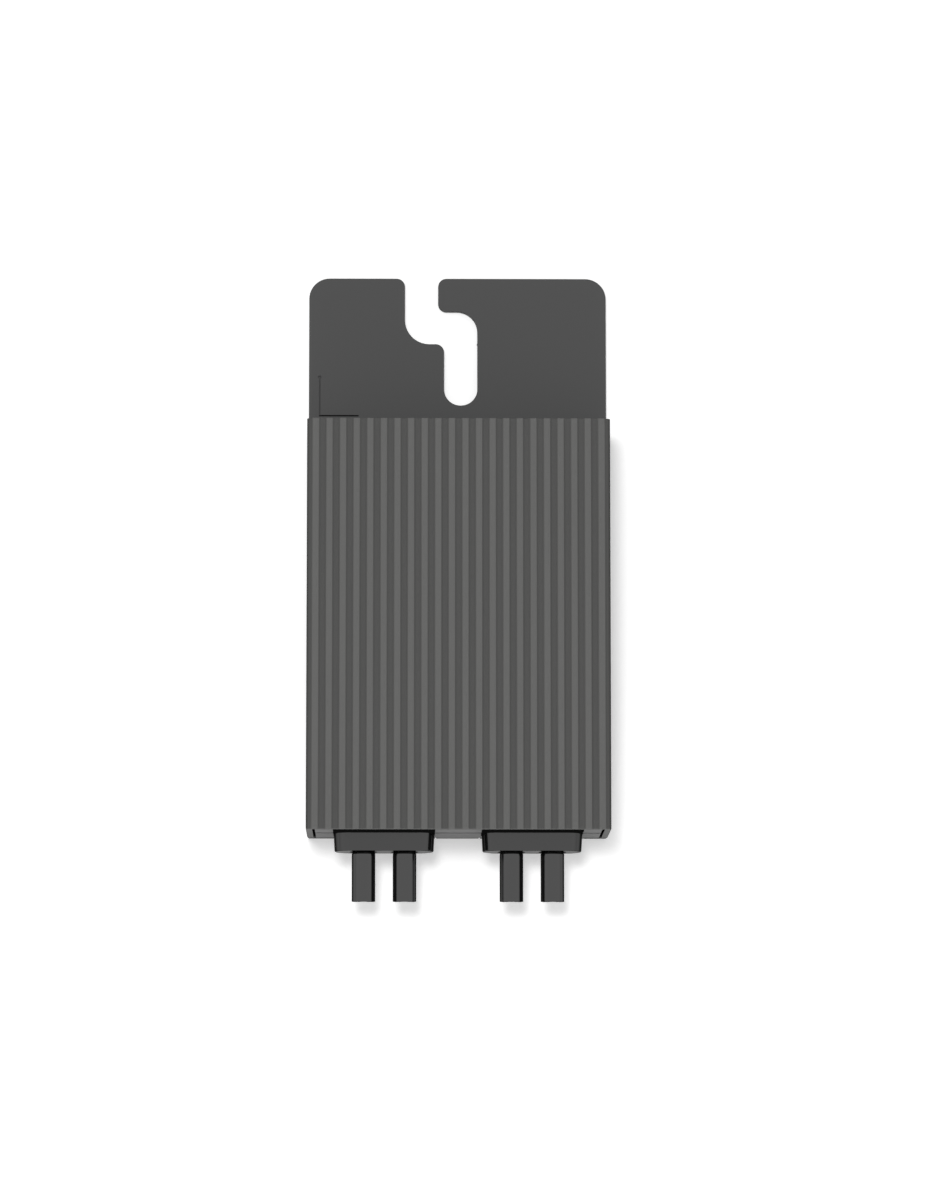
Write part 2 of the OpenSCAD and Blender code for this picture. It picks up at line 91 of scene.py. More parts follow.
# cast cover
RIB_COUNT = 22
RIB_WIDTH = 1.8 * MM
RIB_HEIGHT = 0.5 * MM
RIB_MARGIN = 1.3 * MM
RIB_LEAN = 0.35 * MM
COVER_EDGE = 1.05 * MM
COVER_LEAD_END_EDGE = 0.3 * MM
COVER_FAR_EDGE = 0.12 * MM
COVER_FILLET = 0.08 * MM
COVER_EDGE_STEPS = 6
COVER_END_STEPS = 4
COVER_WALL = 1.6 * MM
COVER_END_WALL = 2.0 * MM
COVER_FRONT = 2.0 * MM
FOOT_WIDTH = 2.0 * MM
FOOT_HEIGHT = 2.5 * MM
FOOT_ROOM = 0.3 * MM
BOSS_RADIUS = 3.2 * MM
BOSS_DEEP = 12.0 * MM
POST_RADIUS = 2.6 * MM
POST_HOLE = 1.3 * MM
POST_DEEP = 8.0 * MM
POST_HEAD = 2.2 * MM
ROOT = 0.4 * MM

# sheet bracket
SHEET_CORNER = 5.2 * MM
SHEET_LOW_CORNER = 0.6 * MM
SHEET_EDGE = 0.15 * MM
SLOT_WIDTH = 8.4 * MM
SLOT_STEP = 1.5 * MM
SLOT_DROP = 8.4 * MM
SEAT_DROP = 28.3 * MM
SEAT_X = 0.8 * MM
SLOT_LIP = 2.1 * MM
SLOT_OUTER_BEND = 5.2 * MM
SLOT_LOWER_BEND = 6.2 * MM
MARK_WIDTH = 0.4 * MM
MARK_LENGTH = 10.0 * MM
MARK_DEEP = 0.5 * MM
MARK_IN = 2.55 * MM
MARK_UP = 4.6 * MM
MARK_DOT = 0.45 * MM
HEAD_SINK = 1.0 * MM
HEAD_HOLE = 3.0 * MM
HEAD_ROOM = 0.3 * MM
SHANK_HOLE = 1.5 * MM
SHEET_CORNER_STEPS = 12
SHEET_LOW_CORNER_STEPS = 4
SLOT_BEND_STEPS = 10
SEAT_STEPS = 14
SHEET_EDGE_STEPS = 3
DOT_SIDES = 16

# end cap, gaskets and glands
CAP_THICK = 4.0 * MM
CAP_SLIT = 0.6 * MM
CAP_EDGE = 0.12 * MM
TONGUE_SET = 1.9 * MM
TONGUE_THICK = 1.2 * MM
TONGUE_IN = 0.5 * MM
TONGUE_ROOM = 0.3 * MM
SLIT_DEEP = 1.0 * MM
SLIT_SKIN = 0.3 * MM
PART_LINE = 1.8 * MM
PART_LINE_DEEP = 1.0 * MM
TAB_WIDTH = 10.6 * MM
TAB_THICK = 1.1 * MM
TAB_ROOM = 0.3 * MM
NECK_IN = 1.5 * MM
GLAND_OUT = 4.5 * MM
GLAND_HEIGHT = 9.6 * MM
GLAND_DRAFT = 0.25 * MM
GLAND_TOP_DRAFT = 0.19 * MM
GLAND_EDGE = 4.5 * MM
GLAND_END_EDGE = 0.3 * MM
GLAND_EDGE_STEPS = 16
GLAND_END_STEPS = 4
FLANGE_LIP = 0.8 * MM
LEAD_ROOM = 0.3 * MM
BORE_EDGE = 0.35 * MM
BORE_EDGE_STEPS = 3
SEAL_EDGE = 0.1 * MM

# leads
SHEATH_WALL = 0.75 * MM
NIP_LENGTH = 0.6 * MM
NIP_DEEP = 0.16 * MM
CUT_SLANT = math.radians(4.2)
STRAND_BACK = 0.5 * MM
CORE_ROOM = 0.06 * MM
CUT_EDGE = 0.05 * MM
JACKET_SIDES = 64
STRAND_RINGS = 3
STRANDS_PER_RING = 6
STRAND_RADIUS = 0.18 * MM
STRAND_STAGGER = 0.05 * MM
STRAND_STEPS = 5
STRAND_SKIP = 7
STRAND_BURR = 0.03 * MM
STRAND_SIDES = 10
# sides of the other rods and bores, and steps of the finest roundings
ROD_SIDES = 32
BORE_SIDES = 48
FINE_STEPS = 2
PAIRS = ("input", "output")
LEADS = ("input_positive", "input_negative", "output_negative", "output_positive")


def clear_pick():
    if bpy.context.mode != "OBJECT":
        bpy.ops.object.mode_set(mode="OBJECT")
    bpy.ops.object.select_all(action="DESELECT")


def take_up(piece):
    clear_pick()
    piece.select_set(True)
    bpy.context.view_layer.objects.active = piece


def keep_place(name):
    piece = bpy.context.object
    piece.name = name
    piece.data.name = name
    bpy.ops.object.transform_apply(location=True, rotation=True, scale=True)
    return piece


def block(name, low, high):
    clear_pick()
    low, high = Vector(low), Vector(high)
    bpy.ops.mesh.primitive_cube_add(size=1, location=(low + high) / 2, scale=high - low)
    return keep_place(name)


def upright_rod(name, x, y, radius, low, high, sides=ROD_SIDES):
    clear_pick()
    bpy.ops.mesh.primitive_cylinder_add(
        vertices=sides, radius=radius, depth=high - low, location=(x, y, (low + high) / 2))
    return keep_place(name)


def lying_rod(name, x, z, radius, low, high, sides=BORE_SIDES):
    clear_pick()
    bpy.ops.mesh.primitive_cylinder_add(
        vertices=sides, radius=radius, depth=high - low,
        location=(x, (low + high) / 2, z), rotation=(math.pi / 2, 0, 0))
    return keep_place(name)


def pick_edges(piece, wanted):
    take_up(piece)
    bpy.ops.object.mode_set(mode="EDIT")
    bpy.ops.mesh.select_mode(type="EDGE")
    bpy.ops.mesh.select_all(action="DESELECT")
    mesh = bmesh.from_edit_mesh(piece.data)
    for edge in mesh.edges:
        edge.select_set(bool(wanted(edge)))
    mesh.select_flush_mode()
    bmesh.update_edit_mesh(piece.data)


def pick_faces(piece, wanted):
    take_up(piece)
    bpy.ops.object.mode_set(mode="EDIT")
    bpy.ops.mesh.select_mode(type="FACE")
    bpy.ops.mesh.select_all(action="DESELECT")
    mesh = bmesh.from_edit_mesh(piece.data)
    for face in mesh.faces:
        face.select_set(bool(wanted(face)))
    mesh.select_flush_mode()
    bmesh.update_edit_mesh(piece.data)


def round_picked(radius, steps):
    bpy.ops.mesh.bevel(offset=radius, offset_type="OFFSET", segments=steps,
                       profile=ROUND_PROFILE, affect="EDGES", clamp_overlap=True)
    bpy.ops.object.mode_set(mode="OBJECT")


def stands_at(edge, x, y):
    return all(abs(v.co.x - x) < NEAR and abs(v.co.y - y) < NEAR for v in edge.verts)


def round_upright(piece, x, y, radius, steps):
    pick_edges(piece, lambda edge: stands_at(edge, x, y))
    round_picked(radius, steps)


def sharp(edge, angle=SHARP_ANGLE):
    return len(edge.link_faces) == 2 and edge.calc_face_angle(0) > angle


def finish_with(piece, kind, **settings):
    take_up(piece)
    added = piece.modifiers.new(kind.lower(), kind)
    for name, value in settings.items():
        setattr(added, name, value)
    bpy.ops.object.modifier_apply(modifier=added.name)


def work_in(piece, other, operation):
    finish_with(piece, "BOOLEAN", operation=operation, solver="EXACT", object=other)
    bpy.data.objects.remove(other)


def cut(piece, cutter):
    work_in(piece, cutter, "DIFFERENCE")


def grow(piece, addition):
    work_in(piece, addition, "UNION")


def clear_seams(piece):
    """Takes out the seams that cutters leave across flat faces."""
    pick_faces(piece, lambda face: True)
    bpy.ops.mesh.dissolve_limited(angle_limit=SEAM_ANGLE)
    bpy.ops.object.mode_set(mode="OBJECT")


def weld(piece):
    """Joins points that roundings and cutters have left on top of each other."""
    pick_faces(piece, lambda face: True)
    bpy.ops.mesh.remove_doubles(threshold=WELD)
    bpy.ops.mesh.dissolve_degenerate(threshold=WELD)
    bpy.ops.object.mode_set(mode="OBJECT")


def even_shading(piece, angle=SMOOTH_ANGLE):
    weld(piece)
    take_up(piece)
    bpy.ops.object.shade_smooth_by_angle(angle=angle)
    finish_with(piece, "WEIGHTED_NORMAL", keep_sharp=True, weight=SHADING_WEIGHT)


def coat(piece, *materials):
    piece.data.materials.clear()
    for material in materials:
        piece.data.materials.append(material)


def second_coat(piece, wanted):
    """Gives the wanted faces the second of a piece's materials."""
    for face in piece.data.polygons:
        face.material_index = int(wanted(face))


def stand_for(piece, node):
    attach(piece, "root")
    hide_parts(node)


def copy_to(piece, name, shift):
    take_up(piece)
    bpy.ops.object.duplicate(linked=False)
    bpy.ops.transform.translate(value=shift)
    return keep_place(name)


def model_row(shape, names, node_end, piece_end):
    """Shapes a piece once, for the first name, and copies it to the places of the others."""
    first = shape(names[0])
    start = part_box(names[0] + node_end)[0]
    for name in names[1:]:
        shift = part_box(name + node_end)[0] - start
        stand_for(copy_to(first, name + piece_end, shift), name + node_end)
    stand_for(first, names[0] + node_end)


# Shader nodes

WHITE = (1, 1, 1, 1)
MID_GREY = (0.5, 0.5, 0.5, 1)
# what a surface has where its material says nothing else
GRAIN_SCALE = 2500.0
CLOUD_SCALE = 60.0
GRAIN_TINT = 0.08
CLOUD_TINT = 0.06
ROUGHNESS_SPREAD = 0.1
LINE_SCALE = 1500.0
# the value that noise swings about, and how lines are drawn out along the length of a piece
NOISE_MIDDLE = 0.5
LINE_STRETCH = (1.0, 0.012, 1.0)


def new_material(name):
    material = bpy.data.materials.new(name)
    material.use_nodes = True
    return material, material.node_tree.nodes, material.node_tree.links


def put(nodes, kind, **values):
    node = nodes.new(kind)
    for name, value in values.items():
        if hasattr(node, name):
            setattr(node, name, value)
        else:
            node.inputs[name.replace("_", " ")].default_value = value
    return node


def new_group(name, inputs, outputs):
    tree = bpy.data.node_groups.new(name, "ShaderNodeTree")
    for socket, kind, value in inputs:
        made = tree.interface.new_socket(name=socket, in_out="INPUT", socket_type=kind)
        made.default_value = value
    for socket, kind in outputs:
        tree.interface.new_socket(name=socket, in_out="OUTPUT", socket_type=kind)
    given, result = tree.nodes.new("NodeGroupInput"), tree.nodes.new("NodeGroupOutput")
    return tree, tree.nodes, tree.links, given, result


def make_surface_grain():
    """Fine grain over broad clouds: tints a colour, varies its roughness and gives a height."""
    tree, nodes, links, given, result = new_group(
        "surface_grain",
        [("Colour", "NodeSocketColor", MID_GREY), ("Roughness", "NodeSocketFloat", 0.5),
         ("Grain Scale", "NodeSocketFloat", GRAIN_SCALE), ("Cloud Scale", "NodeSocketFloat", CLOUD_SCALE),
         ("Grain Tint", "NodeSocketFloat", GRAIN_TINT), ("Cloud Tint", "NodeSocketFloat", CLOUD_TINT),
         ("Roughness Spread", "NodeSocketFloat", ROUGHNESS_SPREAD)],
        [("Colour", "NodeSocketColor"), ("Roughness", "NodeSocketFloat"), ("Height", "NodeSocketFloat")])
    place = put(nodes, "ShaderNodeTexCoord")
    grain = put(nodes, "ShaderNodeTexNoise", Detail=3.0, Roughness=0.6)
    cloud = put(nodes, "ShaderNodeTexNoise", Detail=4.0, Roughness=0.55)
    links.new(place.outputs["Object"], grain.inputs["Vector"])
    links.new(place.outputs["Object"], cloud.inputs["Vector"])
    links.new(given.outputs["Grain Scale"], grain.inputs["Scale"])
    links.new(given.outputs["Cloud Scale"], cloud.inputs["Scale"])

    def swing(source, amount):
        centred = put(nodes, "ShaderNodeMath", operation="SUBTRACT")
        centred.inputs[1].default_value = NOISE_MIDDLE
        scaled = put(nodes, "ShaderNodeMath", operation="MULTIPLY")
        links.new(source, centred.inputs[0])
        links.new(centred.outputs[0], scaled.inputs[0])
        links.new(amount, scaled.inputs[1])
        return scaled.outputs[0]

    def add(first, second):
        total = put(nodes, "ShaderNodeMath", operation="ADD")
        for source, target in ((first, total.inputs[0]), (second, total.inputs[1])):
            if isinstance(source, float):
                target.default_value = source
            else:
                links.new(source, target)
        return total.outputs[0]

    tint = add(add(swing(grain.outputs["Fac"], given.outputs["Grain Tint"]),
                   swing(cloud.outputs["Fac"], given.outputs["Cloud Tint"])), 1.0)
    tinted = put(nodes, "ShaderNodeVectorMath", operation="SCALE")
    links.new(given.outputs["Colour"], tinted.inputs[0])
    links.new(tint, tinted.inputs["Scale"])
    links.new(tinted.outputs[0], result.inputs["Colour"])
    spread = swing(cloud.outputs["Fac"], given.outputs["Roughness Spread"])
    links.new(add(given.outputs["Roughness"], spread), result.inputs["Roughness"])
    links.new(grain.outputs["Fac"], result.inputs["Height"])
    return tree


def make_drawn_lines():
    """Fine lines along the length of a drawn or extruded piece, as a value about one half."""
    tree, nodes, links, given, result = new_group(
        "drawn_lines",
        [("Scale", "NodeSocketFloat", LINE_SCALE)],
        [("Lines", "NodeSocketFloat")])
    place = put(nodes, "ShaderNodeTexCoord")
    stretch = put(nodes, "ShaderNodeMapping")
    stretch.inputs["Scale"].default_value = LINE_STRETCH
    lines = put(nodes, "ShaderNodeTexNoise", Detail=2.0, Roughness=0.5)
    links.new(place.outputs["Object"], stretch.inputs["Vector"])
    links.new(stretch.outputs["Vector"], lines.inputs["Vector"])
    links.new(given.outputs["Scale"], lines.inputs["Scale"])
    links.new(lines.outputs["Fac"], result.inputs["Lines"])
    return tree


SURFACE_GRAIN = make_surface_grain()
DRAWN_LINES = make_drawn_lines()


def place_group(nodes, tree, **values):
    node = nodes.new("ShaderNodeGroup")
    node.node_tree = tree
    for name, value in values.items():
        node.inputs[name.replace("_", " ")].default_value = value
    return node


BUMP_DEPTH = 0.02 * MM
# how far a face may turn from the eye before its gloss fades, and from where it has gone
GLOSS_TURN = (0.17, 0.55)
# how far a face of the cover turns to the side before its coat starts to go matt, and where it is
MATT_TURN = (0.2, 0.65)
# height over which the coat passes from the painted shade of the grooves to the rib tone, and how far a
# face turns to the lead end to be kept out of that painted shade
PAINTED_SHADE_RISE = 0.15 * MM
LEAD_END_START = 0.4
LEAD_END_FULL = 0.9


def grained(name, colour, roughness, grain=GRAIN_SCALE, clouds=CLOUD_SCALE, grain_tint=GRAIN_TINT,
            cloud_tint=CLOUD_TINT, roughness_spread=ROUGHNESS_SPREAD, bump=0.15, metallic=0.0,
            specular=0.4):
    """A coated, moulded or rubber surface: grain and clouds feed colour, roughness and bump."""
    material, nodes, links = new_material(name)
    shader = nodes["Principled BSDF"]
    shader.inputs["Metallic"].default_value = metallic
    shader.inputs["Specular IOR Level"].default_value = specular
    grains = place_group(nodes, SURFACE_GRAIN, Colour=(*colour, 1.0), Roughness=roughness,
                         Grain_Scale=grain, Cloud_Scale=clouds, Grain_Tint=grain_tint,
                         Cloud_Tint=cloud_tint, Roughness_Spread=roughness_spread)
    bumps = put(nodes, "ShaderNodeBump", Strength=bump, Distance=BUMP_DEPTH)
    links.new(grains.outputs["Colour"], shader.inputs["Base Color"])
    links.new(grains.outputs["Roughness"], shader.inputs["Roughness"])
    links.new(grains.outputs["Height"], bumps.inputs["Height"])
    links.new(bumps.outputs["Normal"], shader.inputs["Normal"])
    return material


def draw_lines(material, scale, share):
    """Gives a share of a surface's bump to the lines that drawing, extruding or turning leaves."""
    nodes, links = material.node_tree.nodes, material.node_tree.links
    grains = next(node for node in nodes if node.type == "GROUP")
    bumps = next(node for node in nodes if node.type == "BUMP")
    lines = place_group(nodes, DRAWN_LINES, Scale=scale)
    height = put(nodes, "ShaderNodeMix", Factor=share)
    links.new(grains.outputs["Height"], height.inputs["A"])
    links.new(lines.outputs["Lines"], height.inputs["B"])
    links.new(height.outputs["Result"], bumps.inputs["Height"])
    return material


def set_gloss(material, source, turns, full, edge):
    """Gloss that is full up to the first turn of the source, and down to edge at the second."""
    nodes, links = material.node_tree.nodes, material.node_tree.links
    level = put(nodes, "ShaderNodeMapRange")
    level.inputs["From Min"].default_value = turns[0]
    level.inputs["From Max"].default_value = turns[1]
    level.inputs["To Min"].default_value = full
    level.inputs["To Max"].default_value = edge
    links.new(source, level.inputs["Value"])
    links.new(level.outputs["Result"], nodes["Principled BSDF"].inputs["Specular IOR Level"])
    return material


def fade_gloss(material, full, edge):
    """A moulded gloss that fades on faces turned away from the eye."""
    turn = put(material.node_tree.nodes, "ShaderNodeLayerWeight", Blend=0.5)
    return set_gloss(material, turn.outputs["Facing"], GLOSS_TURN, full, edge)


def matt_sides(material, full):
    """A coat that is matt on faces turned to the sides of the object."""
    nodes, links = material.node_tree.nodes, material.node_tree.links
    surface = put(nodes, "ShaderNodeNewGeometry")
    axes = put(nodes, "ShaderNodeSeparateXYZ")
    sideways = put(nodes, "ShaderNodeMath", operation="ABSOLUTE")
    links.new(surface.outputs["Normal"], axes.inputs[0])
    links.new(axes.outputs["X"], sideways.inputs[0])
    return set_gloss(material, sideways.outputs[0], MATT_TURN, full, 0.0)


def grey(level, warmth=0.0):
    return (level, level, level * (1 - warmth))


def ribbed_coat_with_painted_shade(name, rib, groove, warmth, roughness):
    """The cover's coat, with painted shade: darker in the grooves and on the sides than on ribs and lead
    end.
    """
    material = grained(name, grey(rib), roughness)
    nodes, links = material.node_tree.nodes, material.node_tree.links
    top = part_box("ribbed_cover")[1].z
    place = put(nodes, "ShaderNodeTexCoord")
    axes = put(nodes, "ShaderNodeSeparateXYZ")
    # painted shade: below rib height the coat takes the darker groove tone
    painted_shade_by_height = put(nodes, "ShaderNodeMapRange", interpolation_type="SMOOTHSTEP")
    painted_shade_by_height.inputs["From Min"].default_value = top - RIB_HEIGHT
    painted_shade_by_height.inputs["From Max"].default_value = top - RIB_HEIGHT + PAINTED_SHADE_RISE
    surface = put(nodes, "ShaderNodeNewGeometry")
    turned = put(nodes, "ShaderNodeSeparateXYZ")
    lead_end = put(nodes, "ShaderNodeMapRange", interpolation_type="SMOOTHSTEP")
    lead_end.inputs["From Min"].default_value = -LEAD_END_FULL
    lead_end.inputs["From Max"].default_value = -LEAD_END_START
    lead_end.inputs["To Min"].default_value = 1
    lead_end.inputs["To Max"].default_value = 0
    either = put(nodes, "ShaderNodeMath", operation="MAXIMUM")
    tone = put(nodes, "ShaderNodeMix", data_type="RGBA")
    tone.inputs["A"].default_value = (*grey(groove, warmth), 1)
    tone.inputs["B"].default_value = (*grey(rib, warmth), 1)
    grains = next(node for node in nodes if node.type == "GROUP")
    links.new(place.outputs["Object"], axes.inputs[0])
    links.new(axes.outputs["Z"], painted_shade_by_height.inputs["Value"])
    links.new(surface.outputs["Normal"], turned.inputs[0])
    links.new(turned.outputs["Y"], lead_end.inputs["Value"])
    links.new(painted_shade_by_height.outputs["Result"], either.inputs[0])
    links.new(lead_end.outputs["Result"], either.inputs[1])
    links.new(either.outputs[0], tone.inputs["Factor"])
    links.new(tone.outputs["Result"], grains.inputs["Colour"])
    return material


# the groove tone is painted shade on the grooves and sides of the cover
cover_coat = matt_sides(
    ribbed_coat_with_painted_shade("cover_coat", rib=0.119, groove=0.079, warmth=0.02, roughness=0.7), full=0.2)
bracket_coat = grained("bracket_coat", grey(0.077), roughness=0.6, specular=0.2)
# near-black coat for the stamped line's sunk faces, as painted shade in its groove
stamped_line_painted_shade = grained("stamped_line_painted_shade", grey(0.02), roughness=0.8, specular=0.0)
cap_plastic = grained("cap_plastic", grey(0.118), roughness=0.6, grain=1800.0, specular=0.2)
gland_plastic = fade_gloss(
    grained("gland_plastic", grey(0.003), roughness=0.07, grain=3200.0, bump=0.02, roughness_spread=0.03),
    full=0.87, edge=0.003)
# real rubber of the seals, and also painted shade in the cover's slits, on the cap's tongues and on the
# glands' necks
seal_rubber = grained("seal_rubber", grey(0.006), roughness=0.9, specular=0.0, cloud_tint=0.3)
lead_sheath = fade_gloss(
    grained("lead_sheath", grey(0.003), roughness=0.07, grain=3000.0, bump=0.02, roughness_spread=0.03),
    full=1.0, edge=0.003)
draw_lines(lead_sheath, scale=1200.0, share=0.5)
lead_insulation = grained("lead_insulation", grey(0.05), roughness=0.9, grain=3000.0, specular=0.1)
strand_tin = draw_lines(
    grained("strand_tin", (0.6, 0.58, 0.55), roughness=0.35, metallic=1.0), scale=4000.0, share=0.6)
strand_copper = grained("strand_copper", (0.72, 0.36, 0.2), roughness=0.4, metallic=1.0)

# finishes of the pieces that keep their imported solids, by the record's slots
FINISHES = {
    "seal_rubber": seal_rubber,
    "screw_steel": draw_lines(
        grained("screw_steel", (0.55, 0.55, 0.56), roughness=0.35, grain=4000.0, cloud_tint=0.1,
                metallic=1.0), scale=2500.0, share=0.4),
    "tinned_metal": draw_lines(
        grained("tinned_metal", (0.62, 0.62, 0.6), roughness=0.3, clouds=180.0, cloud_tint=0.15,
                metallic=1.0), scale=2000.0, share=0.5),
    "board_laminate": grained(
        "board_laminate", (0.012, 0.09, 0.03), roughness=0.35, grain=1400.0, clouds=90.0,
        grain_tint=0.2, cloud_tint=0.15, bump=0.1),
    "ferrite": grained(
        "ferrite", grey(0.04), roughness=0.75, grain=1800.0, grain_tint=0.3, bump=0.3),
    "winding_wire": draw_lines(
        grained("winding_wire", (0.6, 0.22, 0.08), roughness=0.3, clouds=120.0, cloud_tint=0.12,
                metallic=1.0), scale=1600.0, share=0.7),
    "chip_case": grained(
        "chip_case", grey(0.018), roughness=0.55, grain=5000.0, grain_tint=0.2, bump=0.2),
    "pad_silicone": grained(
        "pad_silicone", (0.25, 0.32, 0.4), roughness=0.85, grain=1600.0, grain_tint=0.12),
    "film_case": grained(
        "film_case", (0.28, 0.03, 0.02), roughness=0.4, grain=2200.0, cloud_tint=0.1, bump=0.1),
}


# Pieces

def screw_places(node, head):
    """Where four screws with heads of that radius stand, read from their own box."""
    low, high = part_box(node)
    return [(x, y) for x in (low.x + head, high.x - head) for y in (low.y + head, high.y - head)]


def mounting_bracket():
    """The flat sheet with its hanging slot, stamped line, notch and screw holes."""
    low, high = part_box("mounting_bracket")
    sheet = block("mounting_bracket_sheet", low, high)
    half_slot = SLOT_WIDTH / 2
    seat_y = high.y - SEAT_DROP
    run_top = high.y - SLOT_DROP
    run_low = run_top - SLOT_WIDTH
    leg = (SEAT_X - half_slot, SEAT_X + half_slot)
    mouth = (leg[0] - SLOT_STEP - SLOT_WIDTH, leg[0] - SLOT_STEP)
    under, over = low.z - PAST, high.z + PAST
    cut(sheet, block("mouth", (mouth[0], run_top - PAST, under), (mouth[1], high.y + PAST, over)))
    cut(sheet, block("run", (mouth[0], run_low, under), (leg[1], run_top, over)))
    cut(sheet, block("leg", (leg[0], seat_y - half_slot, under), (leg[1], run_top - PAST, over)))
    clear_seams(sheet)
    for x in (low.x, high.x):
        round_upright(sheet, x, high.y, SHEET_CORNER, SHEET_CORNER_STEPS)
        round_upright(sheet, x, low.y, SHEET_LOW_CORNER, SHEET_LOW_CORNER_STEPS)
    for x, y, radius in ((mouth[0], high.y, SLOT_LIP), (mouth[1], high.y, SLOT_LIP),
                         (mouth[1], run_top, SLOT_LIP), (leg[0], run_low, SLOT_LIP),
                         (mouth[0], run_low, SLOT_LOWER_BEND), (leg[1], run_top, SLOT_OUTER_BEND)):
        round_upright(sheet, x, y, radius, SLOT_BEND_STEPS)
    pick_edges(sheet, lambda edge: any(stands_at(edge, x, seat_y - half_slot) for x in leg))
    round_picked(half_slot - NEAR, SEAT_STEPS)
    pick_edges(sheet, sharp)
    round_picked(SHEET_EDGE, SHEET_EDGE_STEPS)
    mark_x, mark_y = low.x + MARK_IN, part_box("ribbed_cover")[1].y + MARK_UP
    deep = high.z - MARK_DEEP
    for along_x, along_y in ((MARK_WIDTH, MARK_LENGTH), (MARK_LENGTH, MARK_WIDTH)):
        cut(sheet, block("mark", (mark_x, mark_y, deep), (mark_x + along_x, mark_y + along_y, over)))
    cut(sheet, upright_rod("dot", mark_x + MARK_WIDTH / 2, mark_y + MARK_LENGTH, MARK_DOT,
                           deep, over, DOT_SIDES))
    notch = TAB_WIDTH / 2 + TAB_ROOM
    cut(sheet, block("notch", (-notch, low.y - PAST, under),
                     (notch, low.y + TAB_THICK + TAB_ROOM, over)))
    for x, y in screw_places("cover_screws", HEAD_HOLE - HEAD_ROOM):
        cut(sheet, upright_rod("shank", x, y, SHANK_HOLE, under, over))
        cut(sheet, upright_rod("head", x, y, HEAD_HOLE, under, low.z + HEAD_SINK))
    even_shading(sheet)
    coat(sheet, bracket_coat, stamped_line_painted_shade)

    # painted shade: the sunk faces of the line across the sheet take the near-black coat
    def in_cross_mark(face):
        sunk = deep - NEAR < face.center.z < high.z - NEAR
        return sunk and abs(face.center.y - mark_y - MARK_WIDTH / 2) < MARK_WIDTH / 2 + NEAR

    second_coat(sheet, in_cross_mark)
    stand_for(sheet, "mounting_bracket")


def ribbed_cover():
    """The casting: a block with round long edges, ribs drawn up from its front, and a hollow back."""
    low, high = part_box("ribbed_cover")
    groove = high.z - RIB_HEIGHT
    cover = block("ribbed_cover_casting", low, (high.x, high.y, groove))

    def along_side(edge):
        return any(all(abs(v.co.x - x) < NEAR and abs(v.co.z - groove) < NEAR for v in edge.verts)
                   for x in (low.x, high.x))

    pick_edges(cover, along_side)
    round_picked(COVER_EDGE, COVER_EDGE_STEPS)
    pitch = (high.x - low.x - 2 * RIB_MARGIN - RIB_WIDTH) / (RIB_COUNT - 1)
    root = RIB_WIDTH + RIB_LEAN
    starts = [low.x + RIB_MARGIN - RIB_LEAN / 2 + i * pitch for i in range(RIB_COUNT)]
    take_up(cover)
    bpy.ops.object.mode_set(mode="EDIT")
    for start in starts:
        for x in (start, start + root):
            bpy.ops.mesh.select_all(action="SELECT")
            bpy.ops.mesh.bisect(plane_co=(x, 0, 0), plane_no=(1, 0, 0))
    pick_faces(cover, lambda face: face.normal.z > FACING and any(
        start < face.calc_center_median().x < start + root for start in starts))
    bpy.ops.mesh.extrude_region_move(TRANSFORM_OT_translate={"value": (0, 0, RIB_HEIGHT)})
    for start in starts:
        middle = start + root / 2

        def rib_top(face):
            centre = face.calc_center_median()
            on_top = face.normal.z > FACING and centre.z > high.z - NEAR
            return on_top and abs(centre.x - middle) < root / 2

        pick_faces(cover, rib_top)
        bpy.ops.transform.resize(value=((root - 2 * RIB_LEAN) / root, 1, 1),
                                 center_override=(middle, 0, 0))
    bpy.ops.object.mode_set(mode="OBJECT")

    for y, radius in ((low.y, COVER_LEAD_END_EDGE), (high.y, COVER_FAR_EDGE)):
        pick_edges(cover, lambda edge: sharp(edge) and all(abs(v.co.y - y) < NEAR for v in edge.verts)
                   and any(v.co.z > low.z + NEAR for v in edge.verts))
        round_picked(radius, COVER_END_STEPS)
    pick_edges(cover, lambda edge: sharp(edge, RIB_ANGLE))
    round_picked(COVER_FILLET, FINE_STEPS)
    hollow_out(cover, low, high, groove)
    clear_seams(cover)
    even_shading(cover)
    coat(cover, cover_coat, seal_rubber)
    inner = high.x - COVER_WALL

    # painted shade: the faces inside the slits take the black rubber, standing in for the shade in the
    # gap at the cap
    def in_slit_painted_shade(face):
        across = inner - CAP_SLIT - NEAR < abs(face.center.x) < inner + NEAR
        back = low.y + NEAR < face.center.y < low.y + SLIT_DEEP + NEAR
        return across and back and face.center.z < groove - SLIT_SKIN + NEAR

    second_coat(cover, in_slit_painted_shade)
    stand_for(cover, "ribbed_cover")


